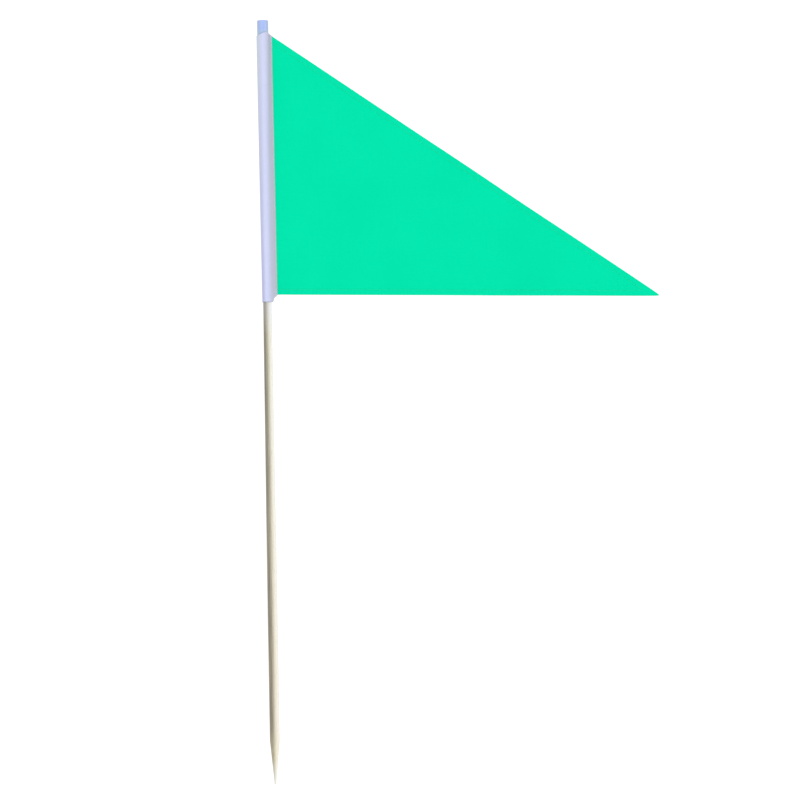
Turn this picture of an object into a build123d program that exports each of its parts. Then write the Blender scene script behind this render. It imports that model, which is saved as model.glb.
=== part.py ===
from build123d import *
import math
import os

# A small triangular flag on a pointed wooden stick, in millimetres, +Z up.
# The origin is on the stick's axis at the shoulder where the point begins.
# The flag hangs towards +X, and its front face looks towards -Y.

# Stick
staff_length = 600.0        # from the point's end to the top end
point_length = 34.0         # sharpened end
point_tip_d = 1.4           # flat left on the point
butt_d = 7.8                # thick end, straight above the point
butt_straight = 100.0       # length of that straight stretch
top_d = 6.8                 # thin end, straight where the flag and the cap sit
taper_gap = 12.0            # the straight top stretch starts this far below the sleeve
staff_end_chamfer = 0.5

# Cap on the stick's top end
cap_d = 8.9
cap_play = 0.05             # radial, cap bore to stick
cap_crown = 2.0             # closed end above the stick
cap_skirt = 22.0            # depth of the bore
cap_round = 1.0             # outer edge of the crown
cap_lead_in = 0.3           # chamfer inside the mouth

# Cloth
sleeve_cloth = 0.35         # thickness of the white strip
sleeve_play = 0.20          # radial, sleeve to stick and sleeve to cap
seam_band = 1.7             # flat part of the leaves that holds the pennant
seam_gap_low = 2.5          # from the round pocket to that band, at the sleeve's lower end
seam_gap_top = 0.25         # the same at its top end, where the cap fills the pocket
pennant_cloth_thick = 0.40
hem_width = 5.0
hem_layers = 3

# Flag outline
pennant_drop = 10.5         # top corner below the stick's top end
hoist = 203.9
fly = 303.0                 # lower edge, from the sleeve to the tip
fly_droop = 1.17            # degrees the lower edge falls below square to the stick
tip_radius = 0.8            # rounding of the fly tip, measured in the flat
sleeve_peak = 3.5           # the sleeve's top edge rises this far above the pennant's corner
sleeve_peak_x = 2.8         # where that peak stands, from the stick's axis
sleeve_tail = 5.6           # the sleeve runs this far below the pennant's lower corner
tail_margin = 1.05          # the tail is this much wider than the round pocket

# Thread
thread_width = 0.35
thread_height = 0.20
hem_stitch_inset = 0.8      # from the inner fold of a hem
thread_end_gap = 1.5        # hem stitching stops this far from the sleeve and the tip
bartack_width = 1.3
bartack_length = 4.0
bartack_height = 0.30
bartack_end_gap = 0.5       # from the pennant's corner to the tack
hem_end_gap = 0.2           # the folded hem stops this far from the sleeve's leaves

# Heights and radii that follow
staff_top_z = staff_length - point_length
cap_top_z = staff_top_z + cap_crown
cap_mouth_z = staff_top_z - cap_skirt
pennant_top_z = staff_top_z - pennant_drop
pennant_low_z = pennant_top_z - hoist
sleeve_peak_z = pennant_top_z + sleeve_peak
sleeve_low_z = pennant_low_z - sleeve_tail
taper_top_z = sleeve_low_z - taper_gap
half_cloth = pennant_cloth_thick / 2
leaf_out = half_cloth + sleeve_cloth
hem_back = half_cloth + (hem_layers - 1) * pennant_cloth_thick


def pocket_radius(z):
    """Outer radius of the round pocket: it hugs the stick at the bottom and the cap at the top."""
    low = top_d / 2 + sleeve_play + sleeve_cloth
    high = cap_d / 2 + sleeve_play + sleeve_cloth
    return low + (high - low) * (z - sleeve_low_z) / (cap_mouth_z - sleeve_low_z)


def leaf_edge(z):
    """Distance from the stick's axis to the edges of the sleeve's two leaves."""
    share = (z - sleeve_low_z) / (sleeve_peak_z - sleeve_low_z)
    gap = seam_gap_low + (seam_gap_top - seam_gap_low) * share
    return pocket_radius(z) + gap + seam_band


def xz(points):
    """Outline in the X-Z plane, as a face."""
    return make_face(Polyline([Vector(x, 0, z) for x, z in points], close=True))


def plate(outline, back, front):
    """Solid between two Y values, made from an outline in the X-Z plane."""
    slab = extrude(outline, amount=front - back, dir=(0, 1, 0))
    return Pos(0, back, 0) * slab


def make_staff():
    profile = Polyline(
        (0, 0, -point_length),
        (point_tip_d / 2, 0, -point_length),
        (butt_d / 2, 0, 0),
        (butt_d / 2, 0, butt_straight),
        (top_d / 2, 0, taper_top_z),
        (top_d / 2, 0, staff_top_z - staff_end_chamfer),
        (top_d / 2 - staff_end_chamfer, 0, staff_top_z),
        (0, 0, staff_top_z),
        close=True,
    )
    return revolve(make_face(profile), Axis.Z)


def make_top_cap():
    outer = Pos(0, 0, cap_mouth_z) * extrude(Circle(cap_d / 2), cap_top_z - cap_mouth_z)
    crown = outer.edges().sort_by(Axis.Z)[-1]
    outer = fillet(crown, cap_round)
    bore_radius = top_d / 2 + cap_play
    bore = Pos(0, 0, cap_mouth_z) * extrude(Circle(bore_radius), cap_skirt)
    cap = outer - bore
    mouth = cap.edges().filter_by(GeomType.CIRCLE).group_by(Axis.Z)[0].sort_by(SortBy.RADIUS)[0]
    return chamfer(mouth, cap_lead_in)


def sleeve_section(z):
    """Section of the folded strip: an arc round the stick, closing along tangents into two flat leaves."""
    outer = pocket_radius(z)
    inner = outer - sleeve_cloth
    edge = leaf_edge(z)
    corner = edge - seam_band
    reach = math.hypot(corner, leaf_out)
    turn = math.atan2(leaf_out, corner) + math.acos(outer / reach)
    inner_corner = corner - sleeve_cloth * math.tan((math.pi / 2 - turn) / 2)
    along = (math.cos(turn), math.sin(turn))

    def at(radius, side):
        return (radius * along[0], side * radius * along[1], z)

    lines = [
        Polyline((edge, leaf_out, z), (corner, leaf_out, z), at(outer, 1)),
        ThreePointArc(at(outer, 1), (-outer, 0, z), at(outer, -1)),
        Polyline(at(outer, -1), (corner, -leaf_out, z), (edge, -leaf_out, z), (edge, -half_cloth, z),
                 (inner_corner, -half_cloth, z), at(inner, -1)),
        ThreePointArc(at(inner, -1), (-inner, 0, z), at(inner, 1)),
        Polyline(at(inner, 1), (inner_corner, half_cloth, z), (edge, half_cloth, z), (edge, leaf_out, z)),
    ]
    return make_face(Wire([e for line in lines for e in line.edges()]))


def make_pole_sleeve():
    strip = loft([sleeve_section(sleeve_low_z), sleeve_section(sleeve_peak_z)], ruled=True)
    outside = 2 * leaf_edge(sleeve_low_z)
    corner_x = leaf_edge(pennant_low_z)
    tail_x = pocket_radius(sleeve_low_z) + tail_margin
    clip = corner_x - tail_x
    cut = xz([
        (-outside, sleeve_low_z),
        (tail_x, sleeve_low_z),
        (tail_x, pennant_low_z - clip),
        (corner_x, pennant_low_z),
        (outside, pennant_low_z),
        (outside, pennant_top_z),
        (leaf_edge(pennant_top_z), pennant_top_z),
        (sleeve_peak_x, sleeve_peak_z),
        (-pocket_radius(pennant_top_z), pennant_top_z),
        (-outside, pennant_top_z),
    ])
    return strip & plate(cut, -outside, outside)


def pennant_corners():
    top = Vector(leaf_edge(pennant_top_z), 0, pennant_top_z)
    low = Vector(leaf_edge(pennant_low_z), 0, pennant_low_z)
    droop = math.radians(fly_droop)
    tip = low + Vector(fly * math.cos(droop), 0, -fly * math.sin(droop))
    return top, low, tip


def hem_strip(start, end, inward, near, far):
    """Band beside the edge from start to end, between two distances inward of it."""
    corners = [start + inward * near, end + inward * near, end + inward * far, start + inward * far]
    return xz([(p.X, p.Z) for p in corners])


def edge_frames():
    """Start, end and inward direction of the lower and the sloped edge."""
    top, low, tip = pennant_corners()
    along_low = (tip - low).normalized()
    along_top = (tip - top).normalized()
    up = Vector(-along_low.Z, 0, along_low.X)
    down = Vector(along_top.Z, 0, -along_top.X)
    return (low, tip, up), (top, tip, down)


def make_pennant_cloth():
    top, low, tip = pennant_corners()
    outline = xz([
        (top.X - seam_band, top.Z),
        (top.X, top.Z),
        (tip.X, tip.Z),
        (low.X, low.Z),
        (low.X - seam_band, low.Z),
    ])
    fly_tip = outline.vertices().sort_by(Axis.X)[-1]
    outline = fillet(fly_tip, tip_radius)
    cloth = plate(outline, -half_cloth, half_cloth)
    for start, end, inward in edge_frames():
        band = hem_strip(start, end, inward, 0, hem_width) & outline
        cloth += plate(band, half_cloth, hem_back)
    beside_sleeve = xz([
        (0, sleeve_peak_z),
        (leaf_edge(sleeve_peak_z) + hem_end_gap, sleeve_peak_z),
        (leaf_edge(sleeve_low_z) + hem_end_gap, sleeve_low_z),
        (0, sleeve_low_z),
    ])
    return cloth - plate(beside_sleeve, half_cloth, 2 * hem_back)


def make_hem_thread(start, end, inward, back, front):
    """A straight run of stitching along a hem, kept clear of the sleeve and the tip."""
    along = (end - start).normalized()
    middle = hem_width - hem_stitch_inset
    tip_stop = (middle + thread_width) / math.tan(tip_angle() / 2) + thread_end_gap
    sleeve_stop = (thread_end_gap + middle) / abs(along.X)
    first = start + along * sleeve_stop
    last = end - along * tip_stop
    band = hem_strip(first, last, inward, middle - thread_width / 2, middle + thread_width / 2)
    return plate(band, back, front)


def tip_angle():
    """Angle at the fly tip between the lower and the sloped edge, in radians."""
    top, low, tip = pennant_corners()
    return math.radians((low - tip).get_angle(top - tip))


def seam_line(z):
    """X of the sleeve's stitching, in the middle of the flat band."""
    return leaf_edge(z) - seam_band / 2


def seam_piece(low_z, high_z, width, back, front):
    """Upright strip on the sleeve's flat band, following the leaf edge."""
    half = width / 2
    outline = xz([
        (seam_line(low_z) - half, low_z),
        (seam_line(low_z) + half, low_z),
        (seam_line(high_z) + half, high_z),
        (seam_line(high_z) - half, high_z),
    ])
    return plate(outline, back, front)


def make_bartack(low_z):
    high_z = low_z + bartack_length
    front = seam_piece(low_z, high_z, bartack_width, -leaf_out - bartack_height, -leaf_out)
    back = seam_piece(low_z, high_z, bartack_width, leaf_out, leaf_out + bartack_height)
    return Compound(children=[front, back])


lower_edge, upper_edge = edge_frames()
lower_tack_z = pennant_low_z + bartack_end_gap
upper_tack_z = pennant_top_z - bartack_end_gap - bartack_length
seam_low_z = lower_tack_z + bartack_length
cloth_front = -half_cloth - thread_height
hem_outside = hem_back + thread_height
seam_outside = leaf_out + thread_height

parts = {
    "staff": make_staff(),
    "top_cap": make_top_cap(),
    "pole_sleeve": make_pole_sleeve(),
    "pennant_cloth": make_pennant_cloth(),
    "hoist_needle_thread": seam_piece(seam_low_z, upper_tack_z, thread_width, -seam_outside, -leaf_out),
    "hoist_bobbin_thread": seam_piece(seam_low_z, upper_tack_z, thread_width, leaf_out, seam_outside),
    "lower_hem_needle_thread": make_hem_thread(*lower_edge, cloth_front, -half_cloth),
    "lower_hem_bobbin_thread": make_hem_thread(*lower_edge, hem_back, hem_outside),
    "upper_hem_needle_thread": make_hem_thread(*upper_edge, cloth_front, -half_cloth),
    "upper_hem_bobbin_thread": make_hem_thread(*upper_edge, hem_back, hem_outside),
    "upper_bartack": make_bartack(upper_tack_z),
    "lower_bartack": make_bartack(lower_tack_z),
}

os.makedirs("parts", exist_ok=True)
for name, part in parts.items():
    export_step(part, f"parts/{name}.step")
    print(name, len(part.solids()), round(part.volume, 2))
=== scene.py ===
import math

import bpy
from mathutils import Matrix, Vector, noise


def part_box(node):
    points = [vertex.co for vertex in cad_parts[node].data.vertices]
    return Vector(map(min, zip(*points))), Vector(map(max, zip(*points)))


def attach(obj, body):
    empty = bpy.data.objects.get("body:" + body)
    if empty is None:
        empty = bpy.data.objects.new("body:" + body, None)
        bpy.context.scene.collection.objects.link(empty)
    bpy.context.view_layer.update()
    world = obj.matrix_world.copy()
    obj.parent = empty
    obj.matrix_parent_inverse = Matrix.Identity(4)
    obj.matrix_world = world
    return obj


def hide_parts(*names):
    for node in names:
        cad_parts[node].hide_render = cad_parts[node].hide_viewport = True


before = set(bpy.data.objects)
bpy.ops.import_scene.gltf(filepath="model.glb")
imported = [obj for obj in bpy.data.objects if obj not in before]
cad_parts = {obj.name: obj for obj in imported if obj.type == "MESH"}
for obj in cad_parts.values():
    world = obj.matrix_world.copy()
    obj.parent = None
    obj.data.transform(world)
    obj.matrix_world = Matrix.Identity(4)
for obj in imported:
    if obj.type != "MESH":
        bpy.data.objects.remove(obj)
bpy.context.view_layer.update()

# A small triangular flag on a pointed stick, in metres. +X runs from the stick to the flag's tip,
# the front looks to -Y, and the stick's point stands on the floor.

mm = 0.001
stickLow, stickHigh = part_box("staff")
capLow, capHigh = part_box("top_cap")
sleeveLow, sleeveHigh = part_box("pole_sleeve")


def between(a, b, share):
    return a + (b - a) * share


def smooth(low, high, value):  # 0 below low, 1 above high, an S in between
    t = min(1.0, max(0.0, (value - low) / (high - low)))
    return t * t * (3 - 2 * t)


# the camera, the light and the floor
studio = {
    "lens": 200.0,                # mm on a 36 mm sensor: nearly parallel, as from far away
    "frameWidth": 0.6304,         # width of the view at the flag
    "aimX": 0.1032,
    "aimZ": 0.2670,
    "roll": 0.975,                # degrees, the stick's top leans a little to the left
    "skyLight": 1.1,
    "keyPower": 22.0,
    "keySize": 1.6,
    "keyPlace": (-1.3, -2.6, 1.9),
    "fillPower": 18.0,
    "fillSize": 1.4,
    "fillPlace": (2.4, -1.6, 0.5),
    "lampTarget": (0.1, 0.0, 0.35),
    "floorRadius": 9.0,
    "floorSides": 64,
    "floorTone": 0.95,
    "floorRoughness": 0.9,
}


def addLamp(name, power, size, place):
    data = bpy.data.lights.new(name, "AREA")
    data.shape = "DISK"
    data.size = size
    data.energy = power
    lamp = bpy.data.objects.new(name, data)
    lamp.location = place
    towards = Vector(studio["lampTarget"]) - lamp.location
    lamp.rotation_euler = towards.to_track_quat("-Z", "Y").to_euler()
    bpy.context.scene.collection.objects.link(lamp)


def buildStudio():
    scene = bpy.context.scene
    scene.view_settings.view_transform = "Standard"

    camData = bpy.data.cameras.new("camera")
    camData.lens = studio["lens"]
    camera = bpy.data.objects.new("camera", camData)
    distance = studio["frameWidth"] * camData.lens / camData.sensor_width
    camera.location = (studio["aimX"], -distance, studio["aimZ"])
    camera.rotation_euler = (math.radians(90), math.radians(studio["roll"]), 0)
    camData.clip_end = 100
    scene.collection.objects.link(camera)
    scene.camera = camera

    world = bpy.data.worlds.new("softbox")
    world.use_nodes = True
    sky = world.node_tree.nodes["Background"]
    sky.inputs["Color"].default_value = (1, 1, 1, 1)
    sky.inputs["Strength"].default_value = studio["skyLight"]
    scene.world = world

    addLamp("keyLamp", studio["keyPower"], studio["keySize"], studio["keyPlace"])
    addLamp("fillLamp", studio["fillPower"], studio["fillSize"], studio["fillPlace"])

    sides = range(studio["floorSides"])
    turns = [math.tau * k / len(sides) for k in sides]
    ring = [(studio["floorRadius"] * math.cos(a), studio["floorRadius"] * math.sin(a), stickLow.z)
            for a in turns]
    mesh = bpy.data.meshes.new("floor")
    mesh.from_pydata(ring, [], [list(sides)])
    floor = bpy.data.objects.new("floor", mesh)
    scene.collection.objects.link(floor)
    paint = bpy.data.materials.new("floorPaint")
    paint.use_nodes = True
    shader = paint.node_tree.nodes["Principled BSDF"]
    shader.inputs["Base Color"].default_value = (*[studio["floorTone"]] * 3, 1)
    shader.inputs["Roughness"].default_value = studio["floorRoughness"]
    shader.inputs["Specular IOR Level"].default_value = 0.0
    mesh.materials.append(paint)
    print("studio: camera", round(distance, 2), "m away")


buildStudio()


class Plug:  # a socket that takes part in plain arithmetic
    def __init__(self, tree, socket=None):
        self.tree = tree
        self.socket = socket

    def node(self, kind, settings=None, inputs=None, out=0):
        made = self.tree.nodes.new(kind)
        for key, value in (settings or {}).items():
            if key == "stops":  # a ramp's (place, colour) pairs
                ramp = made.color_ramp.elements
                while len(ramp) < len(value):
                    ramp.new(1.0)
                for stop, (place, colour) in zip(ramp, value):
                    stop.position = place
                    stop.color = (*colour, 1)
            else:
                setattr(made, key, value)
        for key, value in (inputs or {}).items():
            if isinstance(value, Plug):
                self.tree.links.new(value.socket, made.inputs[key])
            else:
                made.inputs[key].default_value = value
        return Plug(self.tree, made.outputs[out]) if len(made.outputs) else None

    def math(self, operation, first, second=0.0):
        return self.node("ShaderNodeMath", {"operation": operation}, {0: first, 1: second})

    def __add__(self, other):
        return self.math("ADD", self, other)

    def __radd__(self, other):
        return self.math("ADD", other, self)

    def __sub__(self, other):
        return self.math("SUBTRACT", self, other)

    def __rsub__(self, other):
        return self.math("SUBTRACT", other, self)

    def __mul__(self, other):
        return self.math("MULTIPLY", self, other)

    def __rmul__(self, other):
        return self.math("MULTIPLY", other, self)

    def __truediv__(self, other):
        return self.math("DIVIDE", self, other)

    def __pow__(self, other):
        return self.math("POWER", self, other)

    def sin(self):
        return self.math("SINE", self)

    def abs(self):
        return self.math("ABSOLUTE", self)

    def within(self, low, high):  # 0 at low, 1 at high, held outside
        return self.node("ShaderNodeMapRange", {"clamp": True},
                         {"Value": self, "From Min": low, "From Max": high})

    def parts(self, vector):  # a vector's x, y and z
        split = self.node("ShaderNodeSeparateXYZ", None, {0: vector}).socket.node
        return [Plug(self.tree, out) for out in split.outputs]

    def scaled(self, other):  # a vector or a colour times another, part by part
        return self.node("ShaderNodeVectorMath", {"operation": "MULTIPLY"}, {0: self, 1: other})

    def vector(self, x=0.0, y=0.0, z=0.0):
        return self.node("ShaderNodeCombineXYZ", None, {0: x, 1: y, 2: z})

    def mixed(self, first, second):  # this value mixes two colours
        return self.node("ShaderNodeMix", {"data_type": "RGBA"}, {0: self, 6: first, 7: second}, out=2)


def startFinish(name):
    material = bpy.data.materials.new(name)
    material.use_nodes = True
    material.node_tree.nodes.clear()
    return material, Plug(material.node_tree)


def closeFinish(start, settings, height=None, depth=0.0):
    if height is not None:
        settings["Normal"] = start.node("ShaderNodeBump", None,
                                        {"Strength": 1.0, "Distance": depth, "Height": height})
    shader = start.node("ShaderNodeBsdfPrincipled", None, settings)
    start.node("ShaderNodeOutputMaterial", None, {"Surface": shader})


def objectPlace(start, location=(0, 0, 0), rotation=(0, 0, 0), scale=(1, 1, 1)):
    return start.node("ShaderNodeMapping", None, {
        "Vector": start.node("ShaderNodeTexCoord", out=3),
        "Location": location, "Rotation": rotation, "Scale": scale})


def objectAxes(start):  # x, y and z on the piece
    return start.parts(start.node("ShaderNodeTexCoord", out=3))


def speckle(start, place, detail, **more):  # noise, as fine as its place is stretched
    return start.node("ShaderNodeTexNoise", None,
                      {"Vector": place, "Scale": 1.0, "Detail": detail, **more})


def rgb(r, g, b):
    return (r, g, b, 1)


def shadeRound(mesh):
    mesh.polygons.foreach_set("use_smooth", [True] * len(mesh.polygons))


def addPiece(name, mesh, material):
    piece = bpy.data.objects.new(name, mesh)
    bpy.context.scene.collection.objects.link(piece)
    mesh.materials.append(material)
    shadeRound(mesh)
    mesh.update()
    return piece


def applyModifiers(piece):  # what the modifiers make becomes the piece's own mesh
    shown = piece.evaluated_get(bpy.context.evaluated_depsgraph_get())
    mesh = bpy.data.meshes.new_from_object(shown)
    piece.modifiers.clear()
    piece.data = mesh
    return piece


def ringMesh(name, rings):
    # rings of points, all with the same count, joined by quads, with a centre point at each end
    count = len(rings[0])
    points = [p for ring in rings for p in ring]
    faces = []
    for r in range(len(rings) - 1):
        for k in range(count):
            a, b = r * count + k, r * count + (k + 1) % count
            faces.append((a, b, b + count, a + count))
    for ring in (0, len(rings) - 1):
        middle = sum((Vector(p) for p in rings[ring]), Vector()) / count
        points.append(tuple(middle))
        centre = len(points) - 1
        for k in range(count):
            a, b = ring * count + k, ring * count + (k + 1) % count
            faces.append((a, b, centre) if ring else (b, a, centre))
    mesh = bpy.data.meshes.new(name)
    mesh.from_pydata(points, [], faces)
    return mesh


stick = {
    "sides": 112,
    "tipRadius": 0.7 * mm,
    "buttRadius": stickHigh.x,
    "topRadius": 3.4 * mm,
    "buttTop": 100 * mm,          # the thick straight stretch ends here
    "taperTop": 334 * mm,         # the thin straight stretch starts here
    "chamfer": 0.5 * mm,
    "step": 1.6 * mm,             # between rings
    "outOfRound": 0.035 * mm,
    "toolMark": 0.012 * mm,
    "chatter": 2.6 * mm,          # along the stick, from one mark of the cutter to the next
    "knifeCuts": 11,              # flats left round the point
    "knifeDepth": 0.55,           # how much of a true flat each cut is
    "knifeStart": 3 * mm,         # from the shoulder down to the first full cut
    "growthRing": 1.15 * mm,
    "pith": (21 * mm, 13 * mm, 0),     # the tree's middle, well outside the stick
    "grainLean": (0.012, -0.009, 0),   # radians
    "midRadius": 3.7 * mm,        # what the wood tones and the painted shade and highlight across the stick are laid out on
    "relief": 0.05 * mm,
    "woodAndPaintedLightAcross": [              # the wood's tones with painted shade on its left side and painted highlight on its right side, from the dark side to the light side
        (0.0, (0.185, 0.168, 0.138)), (0.20, (0.142, 0.131, 0.103)), (0.36, (0.232, 0.217, 0.172)),
        (0.52, (0.405, 0.385, 0.315)), (0.68, (0.580, 0.562, 0.492)), (0.84, (0.705, 0.695, 0.640)),
        (1.0, (0.760, 0.755, 0.715))],
    "tintRise": (40 * mm, 260 * mm),   # from the low tint to the high one
    "paintedSleeveLightDrop": (26 * mm, 6 * mm),    # below the sleeve, where the painted light reflected from the sleeve begins
    "cutRise": (9 * mm, -6 * mm),      # from the shank down to the cut point
    "freshRise": (-12 * mm, -33 * mm),
    "lowTint": rgb(1.0, 0.955, 0.91),
    "highTint": rgb(0.985, 1.0, 0.99),
    # the bluish tint of the painted light reflected from the sleeve
    "paintedSleeveLightTint": rgb(0.955, 1.0, 1.13),
    "paintedSleeveLight": rgb(0.75, 0.745, 0.78),   # painted pale light reflected from the sleeve, on the wood under and just below it
    "back": rgb(0.53, 0.495, 0.40),
    "lateWood": rgb(0.36, 0.29, 0.18),
    "fibre": rgb(0.70, 0.64, 0.50),
    "pore": rgb(0.16, 0.12, 0.075),
    "cutWood": rgb(0.64, 0.61, 0.39),
    "freshWood": rgb(0.66, 0.65, 0.62),
}


def stickRadius(z):
    if z < 0:
        return between(stick["tipRadius"], stick["buttRadius"], (z - stickLow.z) / -stickLow.z)
    share = (z - stick["buttTop"]) / (stick["taperTop"] - stick["buttTop"])
    radius = between(stick["buttRadius"], stick["topRadius"], min(1.0, max(0.0, share)))
    return min(radius, radius - stick["chamfer"] + stickHigh.z - z)


def stickPoint(angle, z):
    radius = stickRadius(z)
    around = Vector((math.cos(angle), math.sin(angle), 0))
    slow = noise.noise(Vector((around.x * 0.9, around.y * 0.9, z * 9)))
    fibre = noise.noise(Vector((around.x * 9, around.y * 9, z * 26 + 4)))
    chatter = math.sin(angle * 3 + z / stick["chatter"])
    radius -= stick["outOfRound"] * (0.5 + 0.5 * slow) + stick["toolMark"] * (fibre + 0.6 * chatter)
    if z < 0:
        step = math.tau / stick["knifeCuts"]
        lean = angle + 0.35 * math.sin(angle * 2) + z * 3
        off = (lean % step) - step / 2
        flat = math.cos(step / 2) / math.cos(off)
        radius *= between(1.0, flat, stick["knifeDepth"] * smooth(0, -stick["knifeStart"], z))
    return (around.x * radius, around.y * radius, z)


def stickHeights():
    edge = stickHigh.z - stick["chamfer"]
    heights = [stickLow.z + t * mm for t in (0, 0.12, 0.35, 0.7)]
    z = stickLow.z + 1.2 * mm
    while z < edge - 0.6 * mm:
        heights.append(z)
        z += stick["step"] / 2 if z < 2 * mm else stick["step"]
    return heights + [edge - 0.25 * mm, edge, between(edge, stickHigh.z, 0.5), stickHigh.z]


def woodFinish():
    material, start = startFinish("paleDowel")
    bend = speckle(start, objectPlace(start, scale=(60, 60, 5)), 2.0)
    across = objectPlace(start, stick["pith"], stick["grainLean"]).scaled((1, 1, 0))
    distance = start.node("ShaderNodeVectorMath", {"operation": "LENGTH"}, {0: across}, out=1)
    rings = ((distance / stick["growthRing"] + bend * 1.6) * math.tau).sin() * 0.5 + 0.5
    late = rings ** 3.0
    streak = speckle(start, objectPlace(start, scale=(2600, 2600, 34)), 4.0, Roughness=0.6)
    pores = speckle(start, objectPlace(start, (3, 1, 0), scale=(4200, 4200, 160)), 1.0)
    fleck = pores.within(0.66, 0.74)
    cloud = speckle(start, objectPlace(start, scale=(190, 190, 12)), 3.0)

    spot, depth, height = objectAxes(start)
    reach = height.node("ShaderNodeMapRange", {"clamp": True}, {
        "Value": height, "From Min": stickLow.z, "From Max": 0.0,
        "To Min": stick["tipRadius"], "To Max": stick["midRadius"]})
    # painted shade and highlight across the stick, by where a point lies from left to right
    side = spot / reach + (cloud - 0.5) * 0.35 + (streak - 0.5) * 0.5
    tone = start.node("ShaderNodeValToRGB", {"stops": stick["woodAndPaintedLightAcross"]},
                      {"Fac": side.within(-1.0, 1.0)})
    tint = height.within(*stick["tintRise"]).mixed(stick["lowTint"], stick["highTint"])
    # painted bluish light reflected from the sleeve, rising towards the sleeve's low end
    paintedSleeveLight = height.within(*[sleeveLow.z - drop for drop in stick["paintedSleeveLightDrop"]])
    tint = paintedSleeveLight.mixed(tint, stick["paintedSleeveLightTint"])
    back = (depth / reach).within(-0.55, 0.35) * 0.8  # plain wood behind, where the painted shade and highlight fade out
    tone = back.mixed(tone, stick["back"]).scaled(tint)
    tone = (paintedSleeveLight * 0.14).mixed(tone, stick["paintedSleeveLight"])
    tone = (late * 0.30).mixed(tone, stick["lateWood"])
    tone = (streak.within(0.42, 0.75) * 0.22).mixed(tone, stick["fibre"])
    tone = (fleck * 0.35).mixed(tone, stick["pore"])
    pointed = height.within(*stick["cutRise"]) * 0.22
    fresh = height.within(*stick["freshRise"]) * 0.74  # palest towards the tip
    tone = fresh.mixed(pointed.mixed(tone, stick["cutWood"]), stick["freshWood"])
    closeFinish(start, {
        "Base Color": tone, "Roughness": 0.62 + (streak - 0.5) * 0.25 + fleck * 0.15,
        "Specular IOR Level": 0.35}, streak * 0.6 + late * 0.25 - fleck * 0.5, stick["relief"])
    return material


def buildStick():
    turn = math.tau / stick["sides"]
    rings = [[stickPoint(turn * k, z) for k in range(stick["sides"])] for z in stickHeights()]
    piece = addPiece("woodenStick", ringMesh("woodenStick", rings), woodFinish())
    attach(piece, "staff")
    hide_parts("staff")
    print("stick:", len(piece.data.polygons), "faces")


buildStick()


cap = {
    "sides": 96,
    "wallRadius": capHigh.x,
    "boreRadius": 3.45 * mm,
    "crownRound": 1.0 * mm,
    "boreTop": stickHigh.z,
    "leadIn": 0.3 * mm,
    "lip": 0.12 * mm,             # rounding of the mouth's outer edge and of the bore's closed end
    "gateDish": 1.3 * mm,         # radius of the dish round the moulding gate
    "gateDepth": 0.22 * mm,
    "gateNub": 0.42 * mm,         # radius of the nub left in the dish
    "nubEdge": 0.10 * mm,         # how high it stands at its edge and in its middle
    "nubRise": 0.13 * mm,
    "partingRise": 0.03 * mm,     # the mould's joint shows as a fine raised line on two sides
    "partingEdge": 0.05 * mm,     # on what lies this near the outside
    "relief": 0.012 * mm,
    "plastic": (rgb(0.255, 0.348, 0.655), rgb(0.285, 0.378, 0.690)),
    # painted shade on the cap's two sides
    "flank": rgb(0.275, 0.350, 0.525),
    "greyAboveSleeve": rgb(0.285, 0.385, 0.515),
    "greyAboveSleeveHeight": 2.2 * mm,     # above the sleeve's top edge
    "scuff": rgb(0.50, 0.58, 0.76),
}


def capProfile():
    # radius and height, from the bore's closed end round the mouth to the crown's middle
    wall, bore, turnIn = cap["wallRadius"], cap["boreRadius"], cap["crownRound"]
    line = [(bore * t, cap["boreTop"]) for t in (0.4, 0.75, 0.97)]
    line += [(bore, cap["boreTop"] - cap["lip"])]
    depth = cap["boreTop"] - capLow.z
    line += [(bore, cap["boreTop"] - depth * t) for t in (0.2, 0.4, 0.6, 0.8, 0.95)]
    line += [(bore, capLow.z + cap["leadIn"]), (bore + cap["leadIn"], capLow.z)]
    line += [(wall - cap["lip"], capLow.z), (wall - cap["lip"] * 0.3, capLow.z + cap["lip"] * 0.3)]
    line += [(wall, capLow.z + cap["lip"])]
    crown = capHigh.z - turnIn
    line += [(wall, between(capLow.z, crown, k / 12)) for k in range(1, 13)]
    for k in range(1, 9):
        a = math.radians(90 * k / 8)
        line.append((wall - turnIn + turnIn * math.cos(a), crown + turnIn * math.sin(a)))
    dish, nub = cap["gateDish"], cap["gateNub"]
    for t in (0.85, 0.7, 0.55):
        line.append((between(dish, wall - turnIn, (t - 0.4) / 0.6), capHigh.z))
    for t in (1.0, 0.85, 0.7, 0.55, 0.45):
        line.append((dish * t, capHigh.z - cap["gateDepth"] * smooth(1.0, 0.5, t)))
    top = capHigh.z - cap["gateDepth"]
    line += [(nub, top), (nub * 0.86, top + cap["nubEdge"]), (nub * 0.5, top + cap["nubRise"])]
    return line


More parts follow.
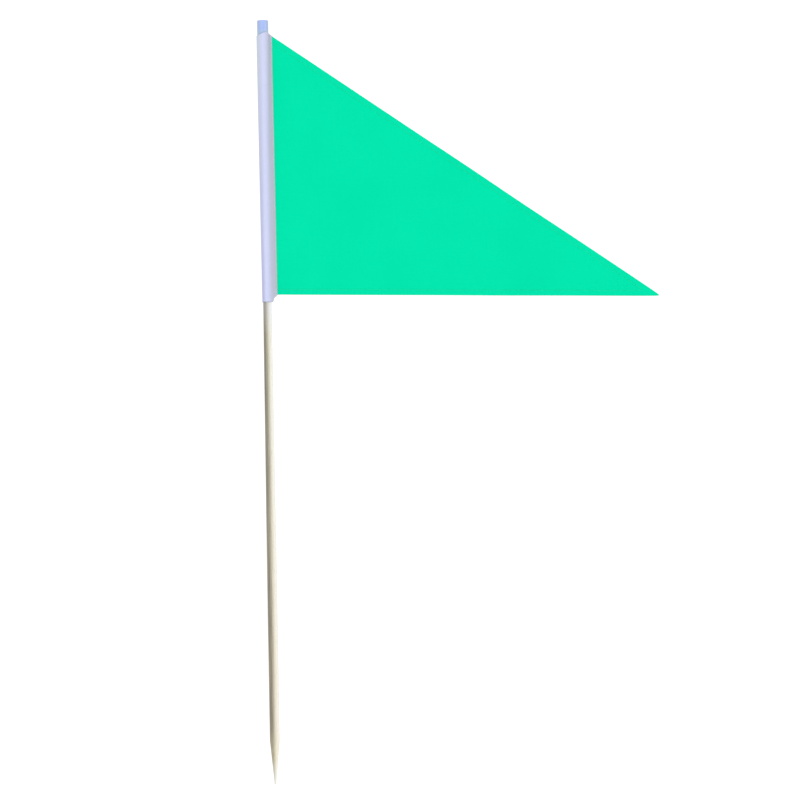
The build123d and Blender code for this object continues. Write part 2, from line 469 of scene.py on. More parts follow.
def capFinish():
    material, start = startFinish("blueCapPlastic")
    flow = speckle(start, objectPlace(start, scale=(260, 260, 60)), 3.0)
    grain = speckle(start, objectPlace(start, scale=(5200, 5200, 5200)), 2.0)
    scuff = speckle(start, objectPlace(start, rotation=(0.3, 0.2, 0), scale=(700, 5200, 700)), 2.0)
    rub = scuff.within(0.62, 0.78)
    across, _, height = objectAxes(start)
    # painted shade greys the two sides; the plastic is also greyer just above the sleeve's top edge
    paintedSideShade = (across / cap["wallRadius"]).abs().within(0.15, 0.75)
    besideCloth = height.within(sleeveHigh.z + cap["greyAboveSleeveHeight"], sleeveHigh.z)
    tint = (paintedSideShade * 0.85).mixed(flow.within(0.3, 0.7).mixed(*cap["plastic"]), cap["flank"])
    # greyer just above the sleeve's top edge
    tint = (besideCloth * 0.75).mixed(tint, cap["greyAboveSleeve"])
    closeFinish(start, {
        "Base Color": (rub * 0.3).mixed(tint, cap["scuff"]),
        "Roughness": 0.36 + grain * 0.12 + rub * 0.2, "Specular IOR Level": 0.5,
        "Coat Weight": 0.15, "Coat Roughness": 0.25}, grain + rub * 0.4, cap["relief"])
    return material


def buildCap():
    turn = math.tau / cap["sides"]
    rings = []
    for radius, z in capProfile():
        outer = radius > cap["wallRadius"] - cap["partingEdge"]
        ring = []
        for k in range(cap["sides"]):
            onLine = k % (cap["sides"] // 2) == 0
            r = radius - cap["partingRise"] if outer and not onLine else radius
            ring.append((r * math.sin(turn * k), -r * math.cos(turn * k), z))
        rings.append(ring)
    piece = addPiece("endCap", ringMesh("endCap", rings), capFinish())
    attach(piece, "cap")
    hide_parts("top_cap")
    print("cap:", len(piece.data.polygons), "faces")


buildCap()


def weaveRelief(pitch, u, v):  # plain weave: 0 between the threads, 1 on their backs
    a = (u * (math.pi / pitch)).sin()
    b = (v * (math.pi / pitch)).sin()
    over = (a * b * 0.8 + 0.5).within(0.0, 1.0)
    return a.abs() * over + b.abs() * (1 - over)


def flatPlace(start):
    flat = start.node("ShaderNodeUVMap", {"uv_map": "flat"})
    u, v, _ = start.parts(flat)
    return flat, u, v


def slubs(start, flat, along, across):  # threads a little thicker or thinner for a stretch
    return speckle(start, flat.scaled((along, across, 1)), 1.0)


def gridMesh(name, rows, flats, moreFaces=()):
    # rows of points joined by quads, with each point's place in the flat cut as its UV
    width = len(rows[0])
    faces = [(r * width + k, r * width + k + 1, (r + 1) * width + k + 1, (r + 1) * width + k)
             for r in range(len(rows) - 1) for k in range(width - 1)]
    faces += moreFaces
    mesh = bpy.data.meshes.new(name)
    mesh.from_pydata([p for row in rows for p in row], [], faces)
    places = [p for row in flats for p in row]
    layer = mesh.uv_layers.new(name="flat")
    for loop in mesh.loops:
        layer.data[loop.index].uv = places[loop.vertex_index]
    return mesh


sleeve = {
    "cloth": 0.35 * mm,
    "play": 0.20 * mm,            # from the strip to the stick and the cap
    "band": 1.7 * mm,             # flat part of the leaves, sewn onto the pennant
    "gapLow": 2.5 * mm,           # from the round pocket to that band, at the lower end
    "gapTop": 0.25 * mm,
    "halfPennant": 0.2 * mm,
    "peakX": 2.8 * mm,            # the top edge's highest point
    "peakRound": 0.22 * mm,
    "cutWander": 0.10 * mm,       # the scissors' line wavers by this much
    "shoulderDrop": 3.5 * mm,     # from that peak down to the pennant's top corner
    "tailDrop": 5.6 * mm,         # from the pennant's low corner down to the sleeve's end
    "tailMargin": 1.05 * mm,
    "rows": 300,
    "bandCols": 6,
    "flankCols": 7,
    "pocketCols": 52,
    "softBend": 1.1 * mm,         # how gently a flank turns into the band
    "pucker": 0.10 * mm,
    "puckerPitch": 5.4 * mm,
    "puckerReach": 2.6 * mm,      # from the stitches across the strip
    "stitchFlat": 0.35 * mm,      # half the width that the stitches hold flat
    "slack": 0.09 * mm,
    "trim": 0.02 * mm,            # the wall is this much thinner than the cloth
    "weavePitch": 0.36 * mm,
    "relief": 0.05 * mm,
    "greenEdge": 0.9 * mm,        # the pennant's edge shows through this far past the band
    "greenFoot": (-0.3 * mm, 0.4 * mm),   # and fades out here, from the pennant's low corner
    "farShadeStations": (2.34, 2.66),   # the painted shade on the far side begins between these
    "shadeNear": 1.0 * mm,        # painted shade on the flank, from the band
    "shadeFar": 8.2 * mm,
    "tape": (rgb(0.495, 0.520, 0.725), rgb(0.520, 0.545, 0.750)),
    # painted shade on the flank, where the cloth turns towards the band
    "flank": rgb(0.350, 0.358, 0.41),
    "fold": (rgb(0.375, 0.393, 0.585), rgb(0.468, 0.510, 0.590)),   # painted shade on the far side, at the lower and the upper end
    "shownGreen": rgb(0.24, 0.44, 0.32),
    # painted shade in the grooves between the threads
    "shadeBetweenThreads": rgb(0.30, 0.31, 0.42),
}
sleeveMarks = ("overGreen", "flank", "foldLine")   # where the pennant shows through, and the painted shades on the flank and on the far side
pennantTopZ = sleeveHigh.z - sleeve["shoulderDrop"]
pennantLowZ = sleeveLow.z + sleeve["tailDrop"]


def pocketRadius(z):  # outside of the round pocket
    low = stick["topRadius"] + sleeve["play"] + sleeve["cloth"]
    high = cap["wallRadius"] + sleeve["play"] + sleeve["cloth"]
    return between(low, high, (z - sleeveLow.z) / (capLow.z - sleeveLow.z))


def leafEdge(z):  # free edges of the two leaves
    gap = between(sleeve["gapLow"], sleeve["gapTop"], (z - sleeveLow.z) / (sleeveHigh.z - sleeveLow.z))
    return pocketRadius(z) + gap + sleeve["band"]


def seamX(z):
    return leafEdge(z) - sleeve["band"] / 2


def puckerAt(z, seed):  # 0 to 1, uneven along the seam
    wave = math.sin(math.tau * z / sleeve["puckerPitch"] + 2.2 * noise.noise(Vector((z * 55, seed, 0))))
    return (0.5 + 0.5 * wave) * (0.55 + 0.45 * noise.noise(Vector((z * 90, seed + 7, 3))))


def sleeveStations():
    # places round the folded strip, from the back leaf's edge to the front leaf's edge:
    # 0..1 band, 1..2 flank, 2..3 pocket from flank to the far side, then mirrored to the front
    half = [k / sleeve["bandCols"] for k in range(sleeve["bandCols"])]
    half += [1 + k / sleeve["flankCols"] for k in range(sleeve["flankCols"])]
    pocket = sleeve["pocketCols"] // 2
    half += [2 + k / pocket for k in range(pocket)]
    return [(t, 1) for t in half] + [(3.0, 1)] + [(t, -1) for t in reversed(half)]


def sleevePoint(station, side, z):
    # middle of the cloth; returns the point and its distance from the leaf's edge along the strip
    middle = pocketRadius(z) - sleeve["cloth"] / 2
    leafY = sleeve["halfPennant"] + sleeve["cloth"] / 2
    edge = leafEdge(z)
    corner = edge - sleeve["band"]
    reach = math.hypot(corner, leafY)
    turn = math.atan2(leafY, corner) + math.acos(middle / reach)
    flank = math.sqrt(reach * reach - middle * middle)
    if station <= 1:
        run = sleeve["band"] * station
        spot = Vector((edge - run, leafY))
    elif station <= 2:
        touch = Vector((middle * math.cos(turn), middle * math.sin(turn)))
        spot = Vector((corner, leafY)).lerp(touch, station - 1)
        run = sleeve["band"] + flank * (station - 1)
    else:
        a = between(turn, math.pi, station - 2)
        spot = Vector((middle * math.cos(a), middle * math.sin(a)))
        run = sleeve["band"] + flank + middle * (a - turn)
    # the flank leaves the band in a soft bend
    nearBend = abs(run - sleeve["band"])
    if nearBend < sleeve["softBend"]:
        slope = math.sin(turn) / max(1e-6, math.cos(turn) + 1e-6)
        lift = (sleeve["softBend"] - nearBend) ** 2 / (4 * sleeve["softBend"])
        spot.y += lift * 0.55 * math.cos(turn) * min(1.0, abs(slope))
    # stitches pull the cloth in, so it swells a little between them
    away = run - sleeve["band"] / 2
    swell = sleeve["pucker"] * puckerAt(z, 3 if side > 0 else 11)
    swell *= math.exp(-(away / sleeve["puckerReach"]) ** 2)
    spot.y += swell * (1 - math.exp(-(away / sleeve["stitchFlat"]) ** 2))
    slack = sleeve["slack"] * (0.5 + 0.5 * noise.noise(Vector((z * 21, station * 1.3 * side, 5))))
    if station > 1:
        spot *= 1 + slack / max(middle, spot.length) * smooth(1, 2, station)
    return Vector((spot.x, side * spot.y, z)), run


def sleeveTopAt(x):
    left = -pocketRadius(pennantTopZ)
    right = leafEdge(pennantTopZ)
    rise = between(pennantTopZ, sleeveHigh.z, (x - left) / (sleeve["peakX"] - left))
    fall = between(sleeveHigh.z, pennantTopZ, (x - sleeve["peakX"]) / (right - sleeve["peakX"]))
    return (rise + fall) / 2 - math.hypot((rise - fall) / 2, sleeve["peakRound"])


def sleeveLowAt(x):
    tail = pocketRadius(sleeveLow.z) + sleeve["tailMargin"]
    corner = leafEdge(pennantLowZ)
    rise = pennantLowZ - (corner - x)
    return sleeveLow.z if x < tail else max(sleeveLow.z, min(rise, pennantLowZ))


def sleeveFinish():
    material, start = startFinish("whiteTape")
    flat, u, v = flatPlace(start)
    relief = weaveRelief(sleeve["weavePitch"], u, v)
    warp = slubs(start, flat, 2800, 70)
    weft = slubs(start, flat, 90, 2600)
    soil = speckle(start, objectPlace(start, scale=(150, 150, 40)), 3.0)
    shown, shade, paintedFarShade = [start.node("ShaderNodeAttribute", {"attribute_name": name}, out=2)
                            for name in sleeveMarks]
    tone = soil.within(0.25, 0.75).mixed(*sleeve["tape"])
    # painted shade on the flank
    tone = (shade * 0.78).mixed(tone, sleeve["flank"])
    upward = objectAxes(start)[2].within(pennantLowZ, pennantTopZ)
    # painted shade on the far side, darker towards the lower end
    tone = (paintedFarShade * 0.9).mixed(tone, upward.mixed(*sleeve["fold"]))
    tone = (shown * 0.50).mixed(tone, sleeve["shownGreen"])
    threads = (relief * 0.5 + warp * 0.5 + weft * 0.5).within(0.2, 1.3)
    # painted shade between the threads
    tone = ((1 - threads) * 0.28).mixed(tone, sleeve["shadeBetweenThreads"])
    closeFinish(start, {
        "Base Color": tone, "Roughness": 0.88 - threads * 0.12, "Specular IOR Level": 0.2,
        "Sheen Weight": 0.12, "Sheen Roughness": 0.5, "Sheen Tint": rgb(0.9, 0.92, 1.0)},
        relief + (warp + weft) * 0.35, sleeve["relief"])
    return material


def buildSleeve():
    rows = [[] for _ in range(sleeve["rows"] + 1)]
    flats = [[] for _ in rows]
    marks = [[] for _ in rows]
    for station, side in sleeveStations():
        low, high = pennantLowZ, pennantTopZ
        for _ in range(4):  # the cut edges follow the outline seen from the front
            low = sleeveLowAt(sleevePoint(station, side, low)[0].x)
            high = sleeveTopAt(sleevePoint(station, side, high)[0].x)
        run = side * sleevePoint(station, side, low)[1]
        low += sleeve["cutWander"] * (noise.noise(Vector((run * 420, 1, 2))) + 1)
        high += sleeve["cutWander"] * (noise.noise(Vector((run * 420, 6, 4))) - 1)
        for r in range(sleeve["rows"] + 1):
            z = between(low, high, r / sleeve["rows"])
            point, run = sleevePoint(station, side, z)
            rows[r].append(point)
            flats[r].append((side * (sleevePoint(3.0, 1, z)[1] - run), z))
            covered = 1 - smooth(0.0, sleeve["band"] + sleeve["greenEdge"], run) * 0.999
            covered *= smooth(*sleeve["greenFoot"], z - pennantLowZ)
            paintedFlankShade = smooth(sleeve["shadeFar"], sleeve["shadeNear"], run - sleeve["band"])
            farShadeMask = smooth(*sleeve["farShadeStations"], station)
            marks[r].append((covered, paintedFlankShade, farShadeMask))
    mesh = gridMesh("poleSleeve", rows, flats)
    for index, name in enumerate(sleeveMarks):
        layer = mesh.attributes.new(name, "FLOAT", "POINT")
        layer.data.foreach_set("value", [mark[index] for row in marks for mark in row])
    piece = addPiece("poleSleeve", mesh, sleeveFinish())
    wall = piece.modifiers.new("cloth", "SOLIDIFY")
    wall.thickness = sleeve["cloth"] - sleeve["trim"]
    wall.offset = 0
    wall.use_rim = True
    applyModifiers(piece)
    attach(piece, "flag")
    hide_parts("pole_sleeve")
    print("sleeve:", len(piece.data.polygons), "faces")
    return piece


sleevePiece = buildSleeve()


pennant = {
    "cloth": 0.40 * mm,
    "wall": 0.36 * mm,            # the cloth itself, with a little air between folded layers
    "fly": 303 * mm,
    "droop": 1.17,                # degrees the lower edge falls below square
    "tipRound": 2.2 * mm,         # rounding of the fly tip
    "hem": 5.0 * mm,
    "columns": 250,
    "crowding": 1.45,             # above 1 the columns crowd towards the tip
    "rows": 42,                   # from the hem to the mitre line's end, on each side of it
    "lastRow": 0.975,
    "ripple": 3.0 * mm,           # how far the cloth swings to the front and back near the tip
    "rippleLength": 150 * mm,
    "rippleHeight": 320 * mm,     # the waves lean, and repeat this far up the cloth
    "rippleStart": 4 * mm,        # from the hoist, held flat up to here
    "rippleFull": 230 * mm,
    "pucker": 0.13 * mm,
    "puckerPitch": 7.5 * mm,      # along the hems
    "puckerReach": 4.5 * mm,
    "hoistPucker": 8.5 * mm,      # pitch of the puckers beside the sleeve
    "hoistPuckerAt": 3.5 * mm,
    "hoistPuckerReach": 6 * mm,
    "hoistFlat": 0.2 * mm,        # the seam holds the cloth flat up to here
    "slopeStep": 0.4 * mm,        # for the cloth's slope
    "stitchInset": 0.8 * mm,      # hem stitching, from the hem's inner fold
    "rawEnd": 0.4 * mm,           # from the outer fold back to the raw edge inside it
    "tuck": 0.03 * mm,            # the folded layers stop this short of the sleeve
    "weld": 0.002 * mm,
    "flat": (222 * mm, 330 * mm),
    "flatArea": 0.0375,           # square metres, of a cut that isn't a rectangle
    "weavePitch": 0.34 * mm,
    "relief": 0.045 * mm,
    "mint": (rgb(0.0006, 0.583, 0.311), rgb(0.0008, 0.603, 0.323)),
    # painted shade in the grooves between the threads
    "shadeBetweenThreads": rgb(0.0, 0.42, 0.215),
}
droop = math.radians(pennant["droop"])
topCorner = Vector((leafEdge(pennantTopZ), 0, pennantTopZ))
lowCorner = Vector((leafEdge(pennantLowZ), 0, pennantLowZ))
flyTip = lowCorner + pennant["fly"] * Vector((math.cos(droop), 0, -math.sin(droop)))
lowerAlong = (flyTip - lowCorner).normalized()
upperAlong = (flyTip - topCorner).normalized()
lowerInward = Vector((-lowerAlong.z, 0, lowerAlong.x))
upperInward = Vector((upperAlong.z, 0, -upperAlong.x))
halfTip = (-lowerAlong).angle(-upperAlong) / 2
tipInward = (-lowerAlong - upperAlong).normalized()


def ripple(x, z):  # the cloth's swing out of its own plane
    out = x - leafEdge(z)
    up = z - pennantLowZ
    reach = smooth(pennant["rippleStart"], pennant["rippleFull"], out)
    phase = math.tau * (out / pennant["rippleLength"] - up / pennant["rippleHeight"]) + 0.6
    slow = math.sin(phase) + 0.35 * math.sin(phase * 1.7 + 1.1 + up * 9)
    fine = noise.noise(Vector((x * 16, 2, z * 16))) * 0.22
    return pennant["ripple"] * reach * (slow * 0.72 + fine)


def puckers(x, z):  # along both hems, and beside the sleeve
    spot = Vector((x, 0, z)) - flyTip
    below, above = spot.dot(lowerInward), spot.dot(upperInward)
    lower = below < above
    away = (min(below, above) - pennant["hem"] + pennant["stitchInset"]) / pennant["puckerReach"]
    run = spot.dot(lowerAlong if lower else upperAlong)
    uneven = noise.noise(Vector((run * 45, 4 if lower else 9, 0)))
    wave = math.sin(math.tau * run / pennant["puckerPitch"] + 2.6 * uneven)
    hemmed = wave * (0.6 + 0.5 * noise.noise(Vector((run * 70, 1, 8)))) * math.exp(-away * away)
    out = x - leafEdge(z)
    aside = (out - pennant["hoistPuckerAt"]) / pennant["hoistPuckerReach"]
    beside = math.exp(-aside * aside) * smooth(pennant["hoistFlat"], 2.5 * mm, out)
    uneven = noise.noise(Vector((0, 3, z * 40)))
    pulled = math.sin(math.tau * z / pennant["hoistPucker"] + 3 * uneven) * beside
    return pennant["pucker"] * (hemmed + 1.3 * pulled) * smooth(pennant["hoistFlat"], 3 * mm, out)


def clothHeight(x, z):
    return ripple(x, z) + puckers(x, z)


def clothNormal(x, z):  # towards the back
    step = pennant["slopeStep"]
    dx = (clothHeight(x + step, z) - clothHeight(x - step, z)) / (2 * step)
    dz = (clothHeight(x, z + step) - clothHeight(x, z - step)) / (2 * step)
    return Vector((-dx, 1, -dz)).normalized()


def blunted(spot, distance):  # rounds the fly tip, each hem row about its own corner
    corner = distance / math.sin(halfTip)
    inward = (spot - flyTip).dot(tipInward) - corner
    return spot + tipInward * (math.hypot(inward, pennant["tipRound"]) - inward)


def clothPoint(spot, layer, distance):
    flatSpot = blunted(spot, distance)
    base = Vector((flatSpot.x, clothHeight(flatSpot.x, flatSpot.z), flatSpot.z))
    return base + clothNormal(flatSpot.x, flatSpot.z) * layer


def deepestRow():  # how far in the rows reach, up to the hoist
    reach = (flyTip - lowCorner).length
    for _ in range(6):
        spot = flyTip + tipInward * reach
        reach += (spot.x - leafEdge(spot.z) + sleeve["band"]) / -tipInward.x
    return reach * math.sin(halfTip)


def clothSection():
    # (distance inward of the edge, layer height, unfolded distance past the edge, normal), from the raw
    # end inside the fold, round the inner fold, the back layer and the outer fold, and on across the
    # single cloth
    cloth, hem = pennant["cloth"], pennant["hem"]
    fold = cloth  # radius of the outer fold at the middle of the cloth
    inner = cloth / 2
    outerAt = fold + cloth / 2
    innerAt = hem - inner - cloth / 2
    line = []
    for t in (0.0, 0.5, 1.0):
        line.append((between(outerAt + pennant["rawEnd"], innerAt, t), cloth, (1 + t) * hem))
    for k in range(1, 5):
        a = math.radians(180 * k / 5)
        line.append((innerAt + inner * math.sin(a), 1.5 * cloth - inner * math.cos(a), hem))
    for t in (0.0, 0.1, 0.18, 0.26, 0.6, 1.0):
        line.append((between(innerAt, outerAt, t), 2 * cloth, hem * (1 - t)))
    for k in range(1, 6):
        a = math.radians(180 * k / 6)
        line.append((outerAt - fold * math.sin(a), cloth + fold * math.cos(a), 0.0))
    singles = [between(outerAt, hem, t) for t in (0.0, 0.35, 0.7, 0.82, 0.9)]
    last = pennant["lastRow"] * deepestRow()
    singles += [between(hem, last, k / pennant["rows"]) for k in range(pennant["rows"] + 1)]
    line += [(distance, 0.0, -distance) for distance in singles]
    section = []
    for k, part in enumerate(line):
        before, after = line[max(0, k - 1)], line[min(len(line) - 1, k + 1)]
        run = Vector((after[0] - before[0], after[1] - before[1])).normalized()
        section.append((*part, Vector((-run.y, run.x))))
    return section


def clothRow(corner, along, inward, part, side):  # on one face of the cloth, from the hoist to the mitre
    distance, layer, unfolded, normal = part
    tuck = pennant["tuck"] if layer > 0 else -sleeve["band"]
    distance += side * normal.x * pennant["wall"] / 2
    layer += side * normal.y * pennant["wall"] / 2
    start = corner + inward * distance
    start += along * ((leafEdge(start.z) + tuck - start.x) / along.x)
    end = flyTip + tipInward * (distance / math.sin(halfTip))
    row = []
    for k in range(pennant["columns"] + 1):
        spot = start.lerp(end, 1 - (1 - k / pennant["columns"]) ** pennant["crowding"])
        laid = blunted(spot, distance) - inward * (distance + unfolded)
        row.append((clothPoint(spot, layer, distance), laid.xz))
    return row


def pennantFinish():
    material, start = startFinish("mintFlagCloth")
    flat, u, v = flatPlace(start)
    relief = weaveRelief(pennant["weavePitch"], u, v)
    warp = slubs(start, flat, 2900, 30)
    weft = slubs(start, flat, 30, 2900)
    dye = speckle(start, objectPlace(start, scale=(22, 22, 22)), 3.0)
    threads = (relief * 0.55 + (warp + weft) * 0.45).within(0.2, 1.2)
    tone = dye.within(0.3, 0.7).mixed(*pennant["mint"])
    # painted shade between the threads
    tone = ((1 - threads) * 0.30).mixed(tone, pennant["shadeBetweenThreads"])
    closeFinish(start, {
        "Base Color": tone, "Roughness": 0.86 - threads * 0.14, "Specular IOR Level": 0.08,
        "Specular Tint": rgb(0.05, 1.0, 0.75),
        "Sheen Weight": 0.05, "Sheen Roughness": 0.4, "Sheen Tint": rgb(0.0, 1.0, 0.65)},
        relief + (warp + weft) * 0.3, pennant["relief"])
    return material


def buildPennant():
    section = clothSection()
    rows = []
    for side in (-1, 1):  # up the front face, then down the back face
        sheet = [clothRow(lowCorner, lowerAlong, lowerInward, part, side) for part in section]
        sheet += [clothRow(topCorner, upperAlong, upperInward, part, side) for part in reversed(section)]
        rows += sheet if side < 0 else sheet[::-1]
    count, width = len(rows), pennant["columns"] + 1
    hoistEdge = [(r * width, (r + 1) * width, (count - 2 - r) * width, (count - 1 - r) * width)
                 for r in range(count // 2 - 1)]
    rows.append(rows[0])
    mesh = gridMesh("pennantCloth", [[point for point, _ in row] for row in rows],
                    [[laid for _, laid in row] for row in rows], hoistEdge)
    piece = addPiece("pennantCloth", mesh, pennantFinish())
    weld = piece.modifiers.new("weld", "WELD")
    weld.merge_threshold = pennant["weld"]
    applyModifiers(piece)
    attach(piece, "flag")
    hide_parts("pennant_cloth")
    print("pennant:", len(piece.data.polygons), "faces")
    return piece


pennantPiece = buildPennant()


stitching = {
    "pitch": 2.7 * mm,            # length of one lockstitch
    "gap": 0.35 * mm,             # between two stitches, where the thread goes through the cloth
    "thread": 0.17 * mm,          # radius
    "lift": 0.10 * mm,
    "slant": 4.0,                 # degrees, each stitch lies a little askew
    "pathStep": 0.9 * mm,         # between the points of a seam's line
    "tackPitch": 0.36 * mm,
    "tackWidth": 1.3 * mm,
    "tackLength": 4.0 * mm,
    "tackThread": 0.15 * mm,
    "tackZigzag": 7,              # degrees, to one side and the other
    "tackStep": 0.3 * mm,
    "endGap": 1.5 * mm,           # from a hem's stitching to the sleeve and to the mitre
    "cornerGap": 0.5 * mm,
    "frayPitch": 0.42 * mm,       # loose fibres along the strip's cut ends
    "frayLength": 1.1 * mm,
    "frayThread": 0.028 * mm,
    "frayAskew": 0.7,             # radians, to either side
    "frayUneven": 0.5,            # share by which their lengths differ
    "plyPitch": 0.34 * mm,        # the twist of the thread
    "relief": 0.05 * mm,
    "white": (rgb(0.56, 0.58, 0.76), rgb(0.36, 0.38, 0.52)),   # on the ply's back, and painted shade between the plies
    # also painted shade between the plies
    "green": (rgb(0.0012, 0.64, 0.345), rgb(0.0, 0.50, 0.26)),
}


def threadFinish(name, tones):
    material, start = startFinish(name)
    x, y, z = objectAxes(start)
    ply = ((x * 0.9 - z + y * 0.6) * (math.tau / stitching["plyPitch"])).sin() * 0.5 + 0.5
    fuzz = speckle(start, objectPlace(start, scale=(6000, 6000, 6000)), 1.0)
    # darker between the plies: painted shade in the thread's grooves
    closeFinish(start, {
        "Base Color": ((1 - ply) * 0.45 + fuzz * 0.15).mixed(*tones), "Roughness": 0.55 + fuzz * 0.2,
        "Specular IOR Level": 0.25}, ply + fuzz * 0.3, stitching["relief"])
    return material


def stitchTree():
    tree = bpy.data.node_groups.new("stitchRow", "GeometryNodeTree")
    tree.is_modifier = True
    face = tree.interface
    face.new_socket("Geometry", in_out="INPUT", socket_type="NodeSocketGeometry")
    for name, value in (("Pitch", stitching["pitch"]), ("Stitch Length", stitching["pitch"]),
                        ("Thread Radius", stitching["thread"]), ("Lift", stitching["lift"]),
                        ("Slant", 0.0), ("Zigzag", 0.0), ("Askew", 0.03), ("Uneven", 0.03)):
        face.new_socket(name, in_out="INPUT", socket_type="NodeSocketFloat").default_value = value
    face.new_socket("Seed", in_out="INPUT", socket_type="NodeSocketInt").default_value = 1
    face.new_socket("Thread", in_out="INPUT", socket_type="NodeSocketMaterial")
    face.new_socket("Geometry", in_out="OUTPUT", socket_type="NodeSocketGeometry")
    start = Plug(tree)
    sockets = start.node("NodeGroupInput").socket.node.outputs
    given = {s.name: Plug(tree, s) for s in sockets if s.name}

    # one stitch: a thread that comes up, lies along the cloth and goes down again
    half = given["Stitch Length"] * 0.5
    line = start.node("GeometryNodeCurvePrimitiveLine", None,
                      {"Start": start.vector(half * -1.0), "End": start.vector(half)})
    line = start.node("GeometryNodeResampleCurve", None, {"Curve": line, "Count": 8})
    along = start.node("GeometryNodeSplineParameter")
    bow = 1 - ((along * 2 - 1).abs()) ** 3.0
    rise = start.vector(z=(bow - 0.6) * given["Lift"] * 2.2)
    line = start.node("GeometryNodeSetPosition", None, {"Geometry": line, "Offset": rise})
    ring = start.node("GeometryNodeCurvePrimitiveCircle", None,
                      {"Resolution": 6, "Radius": given["Thread Radius"]})
    stitch = start.node("GeometryNodeCurveToMesh", None,
                        {"Curve": line, "Profile Curve": ring, "Fill Caps": True})

    # the row: stitches spaced along the seam's line, lying on the cloth
    path = start.node("GeometryNodeMeshToCurve", None, {"Mesh": given["Geometry"]})
    path = start.node("GeometryNodeResampleCurve", {"mode": "LENGTH"},
                      {"Curve": path, "Length": given["Pitch"]})
    outward = start.node("GeometryNodeInputNamedAttribute", {"data_type": "FLOAT_VECTOR"},
                         {"Name": "outward"})
    laid = start.node("FunctionNodeAlignRotationToVector", {"axis": "X"},
                      {"Vector": start.node("GeometryNodeInputTangent")})
    laid = start.node("FunctionNodeAlignRotationToVector", {"axis": "Z", "pivot_axis": "X"},
                      {"Rotation": laid, "Vector": outward})
    index = start.node("GeometryNodeInputIndex")
    turnSign = start.math("MODULO", index, 2.0) * 2 - 1
    askew = start.node("FunctionNodeRandomValue", {"data_type": "FLOAT"},
                       {2: -1.0, 3: 1.0, "ID": index, "Seed": given["Seed"]}, out=1)
    turn = given["Slant"] + given["Zigzag"] * turnSign + given["Askew"] * askew
    turned = start.node("FunctionNodeEulerToRotation", None, {"Euler": start.vector(z=turn)})
    laid = start.node("FunctionNodeRotateRotation", {"rotation_space": "LOCAL"},
                      {"Rotation": laid, "Rotate By": turned})
    least = start.vector(1 - given["Uneven"], 0.94, 0.9)
    most = start.vector(1 + given["Uneven"], 1.06, 1.1)
    size = start.node("FunctionNodeRandomValue", {"data_type": "FLOAT_VECTOR"}, {
        0: least, 1: most, "ID": index, "Seed": given["Seed"] + 5})
    row = start.node("GeometryNodeInstanceOnPoints", None,
                     {"Points": path, "Instance": stitch, "Rotation": laid, "Scale": size})
    row = start.node("GeometryNodeRealizeInstances", None, {"Geometry": row})
    row = start.node("GeometryNodeSetMaterial", None, {"Geometry": row, "Material": given["Thread"]})
    start.node("NodeGroupOutput", None, {0: row})
    return tree


def sewRow(name, node, path, material, settings, tree):
    points, outward = path
    mesh = bpy.data.meshes.new(name)
    mesh.from_pydata(points, [(k, k + 1) for k in range(len(points) - 1)], [])
    layer = mesh.attributes.new("outward", "FLOAT_VECTOR", "POINT")
    layer.data.foreach_set("vector", [c for v in outward for c in v])
    piece = bpy.data.objects.new(name, mesh)
    bpy.context.scene.collection.objects.link(piece)
    sew = piece.modifiers.new("sew", "NODES")
    sew.node_group = tree
    settings = {"Thread": material, **settings}
    for item in tree.interface.items_tree:
        if item.in_out == "INPUT" and item.name in settings:
            sew[item.identifier] = settings[item.name]
    applyModifiers(piece)
    shadeRound(piece.data)
    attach(piece, "flag")
    if node:
        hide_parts(node)
    print(name + ":", len(piece.data.polygons), "faces")
    return piece


def seamPath(side, low, high, step):  # up the sleeve's band, on its outside
    count = round((high - low) / step)
    heights = [between(low, high, k / count) for k in range(count + 1)]
    out = side * (sleeve["halfPennant"] + sleeve["cloth"])
    return [(seamX(z), out, z) for z in heights], [(0, side, 0)] * len(heights)


def hemPath(side, corner, along, inward):  # along a hem, on the cloth's front or back
    line = pennant["hem"] - pennant["stitchInset"]
    first = corner + inward * line
    first += along * ((leafEdge(first.z) + stitching["endGap"] - first.x) / along.x)
    last = flyTip + tipInward * (line / math.sin(halfTip)) - along * stitching["endGap"]
    count = round((last - first).length / stitching["pathStep"])
    layer = -pennant["cloth"] / 2 if side < 0 else 2.5 * pennant["cloth"]
    points, outward = [], []
    for k in range(count + 1):
        spot = first.lerp(last, k / count)
        points.append(clothPoint(spot, layer, line))
        outward.append(clothNormal(spot.x, spot.z) * side)
    return points, outward


def cutPath(upper):  # round the strip's cut end, just inside the cloth
    points, outward = [], []
    for station, side in sleeveStations():
        z = pennantTopZ if upper else pennantLowZ
        for _ in range(4):
            x = sleevePoint(station, side, z)[0].x
            z = sleeveTopAt(x) if upper else sleeveLowAt(x)
        z += (-2 if upper else 2) * sleeve["cutWander"]
        spot = sleevePoint(station, side, z)[0]
        points.append(spot)
        outward.append((0, side, 0) if station <= 1 else Vector((spot.x, spot.y, 0)).normalized())
    return points, outward


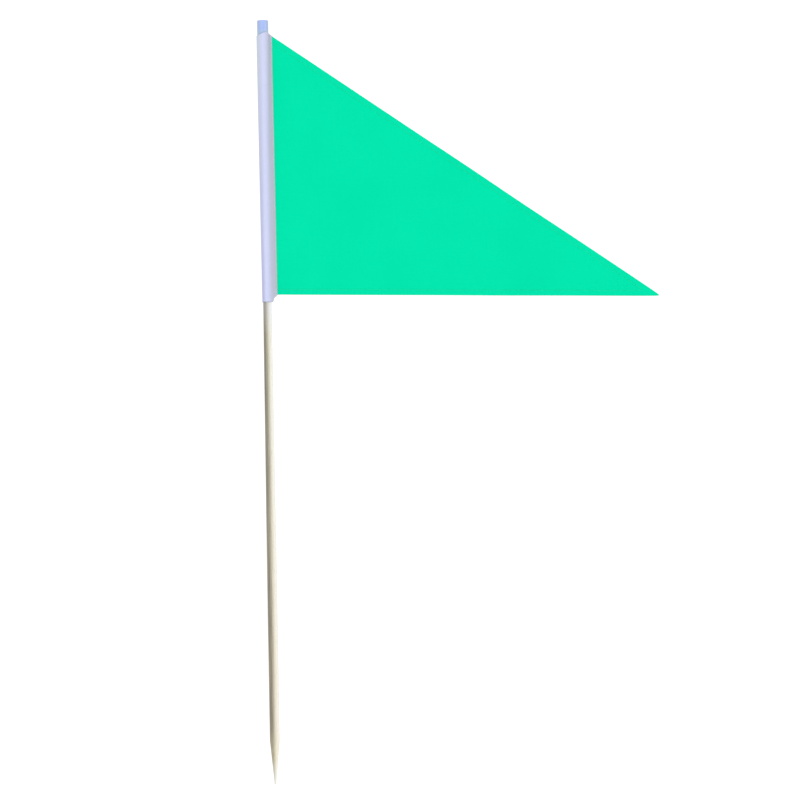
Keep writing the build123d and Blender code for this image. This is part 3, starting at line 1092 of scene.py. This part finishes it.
def buildStitching():
    tree = stitchTree()
    white = threadFinish("whiteThread", stitching["white"])
    green = threadFinish("greenThread", stitching["green"])
    tackLow = pennantLowZ + stitching["cornerGap"]
    tackHigh = pennantTopZ - stitching["cornerGap"] - stitching["tackLength"]
    seamLow = tackLow + stitching["tackLength"]
    plain = {"Pitch": stitching["pitch"], "Stitch Length": stitching["pitch"] - stitching["gap"],
             "Slant": math.radians(stitching["slant"])}
    tack = {"Pitch": stitching["tackPitch"], "Stitch Length": stitching["tackWidth"],
            "Slant": math.radians(90), "Zigzag": math.radians(stitching["tackZigzag"]),
            "Thread Radius": stitching["tackThread"]}
    made = []
    for side, face in ((-1, "needle"), (1, "bobbin")):
        title = "Front" if side < 0 else "Back"
        seam = seamPath(side, seamLow, tackHigh, stitching["pathStep"])
        made.append(sewRow("hoistStitches" + title, f"hoist_{face}_thread", seam,
                           white, {**plain, "Seed": 3 + side}, tree))
        for hem, ends in (("lower", (lowCorner, lowerAlong, lowerInward)),
                          ("upper", (topCorner, upperAlong, upperInward))):
            made.append(sewRow(f"{hem}HemStitches{title}", f"{hem}_hem_{face}_thread",
                               hemPath(side, *ends), green,
                               {**plain, "Seed": 9 + side}, tree))
        for end, low in (("lower", tackLow), ("upper", tackHigh)):
            seam = seamPath(side, low, low + stitching["tackLength"], stitching["tackStep"])
            made.append(sewRow(f"{end}Bartack{title}", f"{end}_bartack", seam,
                               white, {**tack, "Seed": 21 + side}, tree))
    fray = {"Pitch": stitching["frayPitch"], "Stitch Length": stitching["frayLength"],
            "Thread Radius": stitching["frayThread"], "Slant": math.radians(90),
            "Askew": stitching["frayAskew"], "Uneven": stitching["frayUneven"], "Seed": 40}
    for name, upper in (("sleeveTopFray", True), ("sleeveLowFray", False)):
        made.append(sewRow(name, None, cutPath(upper), white, fray, tree))
    return made


stitchPieces = buildStitching()


sleeveFlat = (2 * sleevePoint(3.0, 1, between(sleeveLow.z, sleeveHigh.z, 0.5))[1],
              sleeveHigh.z - sleeveLow.z)
